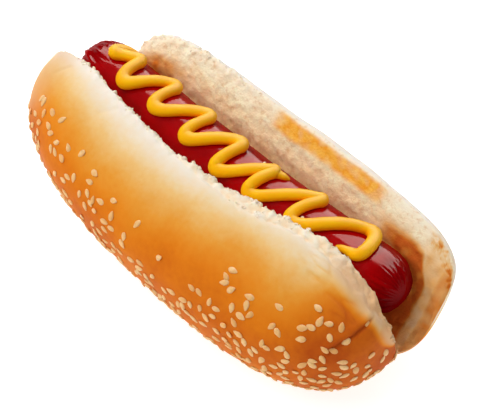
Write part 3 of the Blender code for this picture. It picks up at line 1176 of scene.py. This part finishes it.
def shred_model(seed):
    """A small irregular lump about 1 mm across."""
    shape = bmesh.new()
    bmesh.ops.create_icosphere(shape, subdivisions=2, radius=0.5)
    for vertex in shape.verts:
        vertex.co *= 1.0 + 0.55 * noise.noise(vertex.co * 2.4 + Vector((seed, 0.0, 0.0)))
        vertex.co.y *= 0.75
        vertex.co.z *= 0.65
    points = [vertex.co.copy() for vertex in shape.verts]
    faces = [[vertex.index for vertex in face.verts] for face in shape.faces]
    shape.free()
    return points, faces


def shred_spots(mesh, values):
    """Which model lies where, for each shred and fallen crumb, and each one's place along the roll."""
    places, normals = places_and_normals(mesh)
    x, run, side = np.array(values, float).T
    torn = eased(x, TORN_EDGE)
    crown = side > 0.0
    clumps = np.clip(0.6 + 1.4 * uneven(places / MM, 5.0, 1.4), 0.05, 2.0)
    chance = crown * bump(run + 0.4, 0.8) * clumps * (x > -66.0)
    chance += 0.03 * crown * (run > 0.0) * (run < torn) * (x > -14.0)
    chance *= 1.0 - 0.85 * smooth_step(x, 42.0, 52.0)
    chance += 0.05 * (1.0 - crown) * (x < -14.0) * bump(run, 1.6)
    chosen = rng.choice(len(places), size=SHRED_COUNT, replace=False, p=chance / chance.sum())
    spots = []
    along = []
    for index in chosen:
        scale = rng.uniform(*SHRED_SIZE) * (BIG_SHRED if rng.random() < BIG_SHREDS else 1.0)
        scale *= 1.0 + 0.45 * between(x[index], (-8.0, 6.0), (38.0, 46.0))
        model = int(rng.integers(len(SHRED_SEEDS)))
        heading = rng.uniform(0.0, 6.28)
        tilt = rng.uniform(-0.5, 0.5)
        spots.append((model, lying(places[index], normals[index], heading, tilt, scale)))
        along.append(x[index])
    for x_fallen, angle, size in FALLEN:
        turn = math.radians(angle)
        out = np.array([0.0, math.cos(turn), math.sin(turn)])
        axis = np.array([x_fallen, frank_axis_y(x_fallen), 0.0])
        place = (axis + out * (FRANK_RADIUS + 0.35 * size)) * MM + np.array(AXIS)
        spots.append((0, lying(place, out, 0.7, 0.2, size)))
        along.append(x_fallen)
    return spots, along


shred_models = [shred_model(seed) for seed in SHRED_SEEDS]
shred_placed, shred_along = shred_spots(roll.data, roll_surface.values)
shreds = scatter("torn_crumb", shred_models, shred_placed, bread)
shred_along = np.repeat(shred_along, len(shred_models[0][0]))
store(shreds.data, "fresh", 0.8 * (1.0 - smooth_step(shred_along, 38.0, 54.0)))
# Painted warm shade on every shred.
store(shreds.data, "hollow_shade", np.full(len(shred_along), 0.4))
# Painted shade on the shreds towards the near end.
store(shreds.data, "lip_shade_and_tone", 0.85 * smooth_step(shred_along, 48.0, 62.0))
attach(shreds, "root")


# ---- The floor, light and camera ----
# A plain white table top under a large soft light, with the camera looking down on the roll's crown.

FLOOR_SIZE = 3.0
WORLD_STRENGTH = 0.36
MIRRORED_STRENGTH = 0.04  # the surroundings' strength in gloss
AZIMUTH = 44.8
ELEVATION = 52.0
DISTANCE = 0.575
LENS = 130.5
AIM_OFFSET = Vector((0.0062, 0.0038, 0.0012))  # from the middle of the object's box


def direction(azimuth, elevation):
    """Unit vector towards something seen at this azimuth, clockwise from -Y, and elevation."""
    turn = math.radians(azimuth)
    rise = math.radians(elevation)
    return Vector((math.sin(turn) * math.cos(rise), -math.cos(turn) * math.cos(rise), math.sin(rise)))


def soft_light(name, azimuth, elevation, distance, size, power):
    lamp = bpy.data.lights.new(name, "AREA")
    lamp.shape = "ELLIPSE"
    lamp.size, lamp.size_y = size
    lamp.energy = power
    holder = bpy.data.objects.new(name, lamp)
    holder.location = direction(azimuth, elevation) * distance
    holder.rotation_euler = direction(azimuth, elevation).to_track_quat("Z", "Y").to_euler()
    bpy.context.scene.collection.objects.link(holder)
    return holder


floor_mesh = bpy.data.meshes.new("floor")
corner = FLOOR_SIZE / 2
corners = [(-corner, -corner, 0), (corner, -corner, 0), (corner, corner, 0), (-corner, corner, 0)]
floor_mesh.from_pydata(corners, [], [(0, 1, 2, 3)])
floor = bpy.data.objects.new("floor", floor_mesh)
bpy.context.scene.collection.objects.link(floor)
floor_material, floor_tree, floor_shader = new_material("white table top")
floor_finish = {
    "Base Color": (0.55, 0.55, 0.55, 1.0),
    "Roughness": 0.9,
    "Emission Color": (1.0, 1.0, 1.0, 1.0),
    "Emission Strength": 0.8,
}
feed(floor_tree, floor_shader, floor_finish)
floor_mesh.materials.append(floor_material)

key = soft_light("key light", azimuth=242.0, elevation=60.0, distance=1.0, size=(1.1, 1.1), power=3.4)
key.visible_glossy = False
fill = soft_light("fill light", azimuth=-45.0, elevation=58.0, distance=1.6, size=(1.4, 1.4), power=13.0)
fill.visible_glossy = False
sheen = soft_light("sheen panel", azimuth=200.0, elevation=42.0, distance=1.0, size=(2.2, 1.25), power=105.0)
sheen.data.color = (1.0, 0.92, 0.84)
sheen.visible_diffuse = False

world = bpy.data.worlds.new("studio")
bpy.context.scene.world = world
world.use_nodes = True
world_tree = world.node_tree
mirrored = node(world_tree, "ShaderNodeLightPath").outputs["Is Glossy Ray"]
strength = worked(world_tree, "MULTIPLY_ADD", mirrored, MIRRORED_STRENGTH - WORLD_STRENGTH, WORLD_STRENGTH)
feed(world_tree, world_tree.nodes["Background"], {"Color": (1.0, 1.0, 1.0, 1.0), "Strength": strength})
bpy.context.scene.view_settings.view_transform = "Standard"

camera_data = bpy.data.cameras.new("camera")
camera_data.lens = LENS
camera = bpy.data.objects.new("camera", camera_data)
toward = direction(AZIMUTH, ELEVATION)
camera.location = (cad_box[0] + cad_box[1]) / 2 + AIM_OFFSET + toward * DISTANCE
camera.rotation_euler = toward.to_track_quat("Z", "Y").to_euler()
bpy.context.scene.collection.objects.link(camera)
bpy.context.scene.camera = camera
